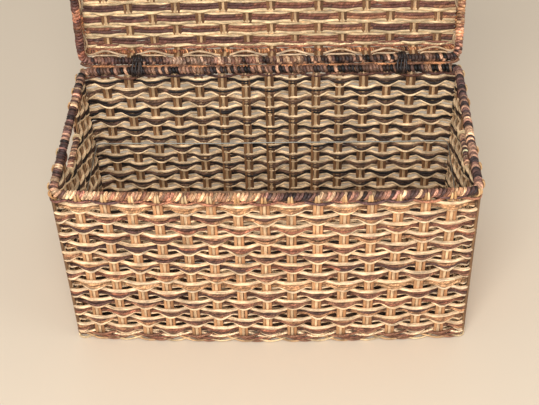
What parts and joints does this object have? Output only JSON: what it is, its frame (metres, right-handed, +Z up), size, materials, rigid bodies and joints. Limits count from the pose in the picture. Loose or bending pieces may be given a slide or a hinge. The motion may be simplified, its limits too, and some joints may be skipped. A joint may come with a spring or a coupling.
{
  "type": "wicker storage trunk",
  "caption": "Rectangular woven storage trunk with a hinged shallow lid, rope-wrapped rims, hand-holds in both ends and lashed hinges, shown open.",
  "frame": {"origin": "centre of the underside of the woven base", "axes": "+X to the trunk's right as seen from the front, +Y to the back where the lid is hinged, +Z up"},
  "size_m": [0.7792, 0.4928, 0.7812],
  "materials": {
    "weave": "twisted brown leaf strands between pale split rattan strands, matt",
    "lid_weave": "twisted red-brown leaf strands between pale split rattan strands, matt",
    "stake_cane": "flat split cane, orange tan with a pale middle cane, satin",
    "rim_rope": "wound twisted leaf, purple-brown to tan, matt with a slight sheen",
    "frame_cane": "round rattan rod, satin",
    "frame_wrap": "rod wound with thin orange-brown leaf, matt",
    "lashing": "wound near-black leaf, slightly glossy",
    "wire": "thin dull grey wire",
    "border": "twined pale cane and brown leaf, matt"
  },
  "bodies": {
    "body": {"cross_stake_1": "stake_cane", "cross_stake_2": "stake_cane", "cross_stake_3": "stake_cane", "cross_stake_4": "stake_cane", "cross_stake_5": "stake_cane", "cross_stake_6": "stake_cane", "cross_stake_7": "stake_cane", "cross_stake_8": "stake_cane", "cross_stake_9": "stake_cane", "cross_stake_10": "stake_cane", "cross_stake_11": "stake_cane", "cross_stake_12": "stake_cane", "cross_stake_13": "stake_cane", "cross_stake_14": "stake_cane", "cross_stake_15": "stake_cane", "long_stake_1": "stake_cane", "long_stake_2": "stake_cane", "long_stake_3": "stake_cane", "long_stake_4": "stake_cane", "long_stake_5": "stake_cane", "long_stake_6": "stake_cane", "long_stake_7": "stake_cane", "long_stake_8": "stake_cane", "base_panel": "weave", "front_foot_border": "border", "back_foot_border": "border", "left_foot_border": "border", "right_foot_border": "border", "front_wall": "weave", "back_wall": "weave", "left_wall": "weave", "right_wall": "weave", "front_left_corner_post": "frame_cane", "front_right_corner_post": "frame_cane", "back_left_corner_post": "frame_cane", "back_right_corner_post": "frame_cane", "left_hand_hold_bar": "rim_rope", "right_hand_hold_bar": "rim_rope", "inner_frame_wire": "wire", "body_rim_core": "frame_cane", "body_rim_rope_front": "rim_rope", "body_rim_rope_back": "rim_rope", "body_rim_rope_left": "rim_rope", "body_rim_rope_right": "rim_rope", "body_left_lashing": "lashing", "body_right_lashing": "lashing"},
    "lid": {"lid_panel": "lid_weave", "lid_stakes": "stake_cane", "lid_frame_rod": "frame_wrap", "lid_front_wall": "lid_weave", "lid_back_wall": "lid_weave", "lid_left_wall": "lid_weave", "lid_right_wall": "lid_weave", "lid_rim_core": "frame_cane", "lid_rim_rope_front": "rim_rope", "lid_rim_rope_back": "rim_rope", "lid_rim_rope_left": "rim_rope", "lid_rim_rope_right": "rim_rope", "lid_left_lashing": "lashing", "lid_right_lashing": "lashing"}
  },
  "joints": [
    {"name": "lid_hinge", "type": "hinge", "parent": "body", "child": "lid", "pos_m": [0, 0.1937, 0.395], "axis": [1, 0, 0], "range_deg": [0, 98]}
  ]
}
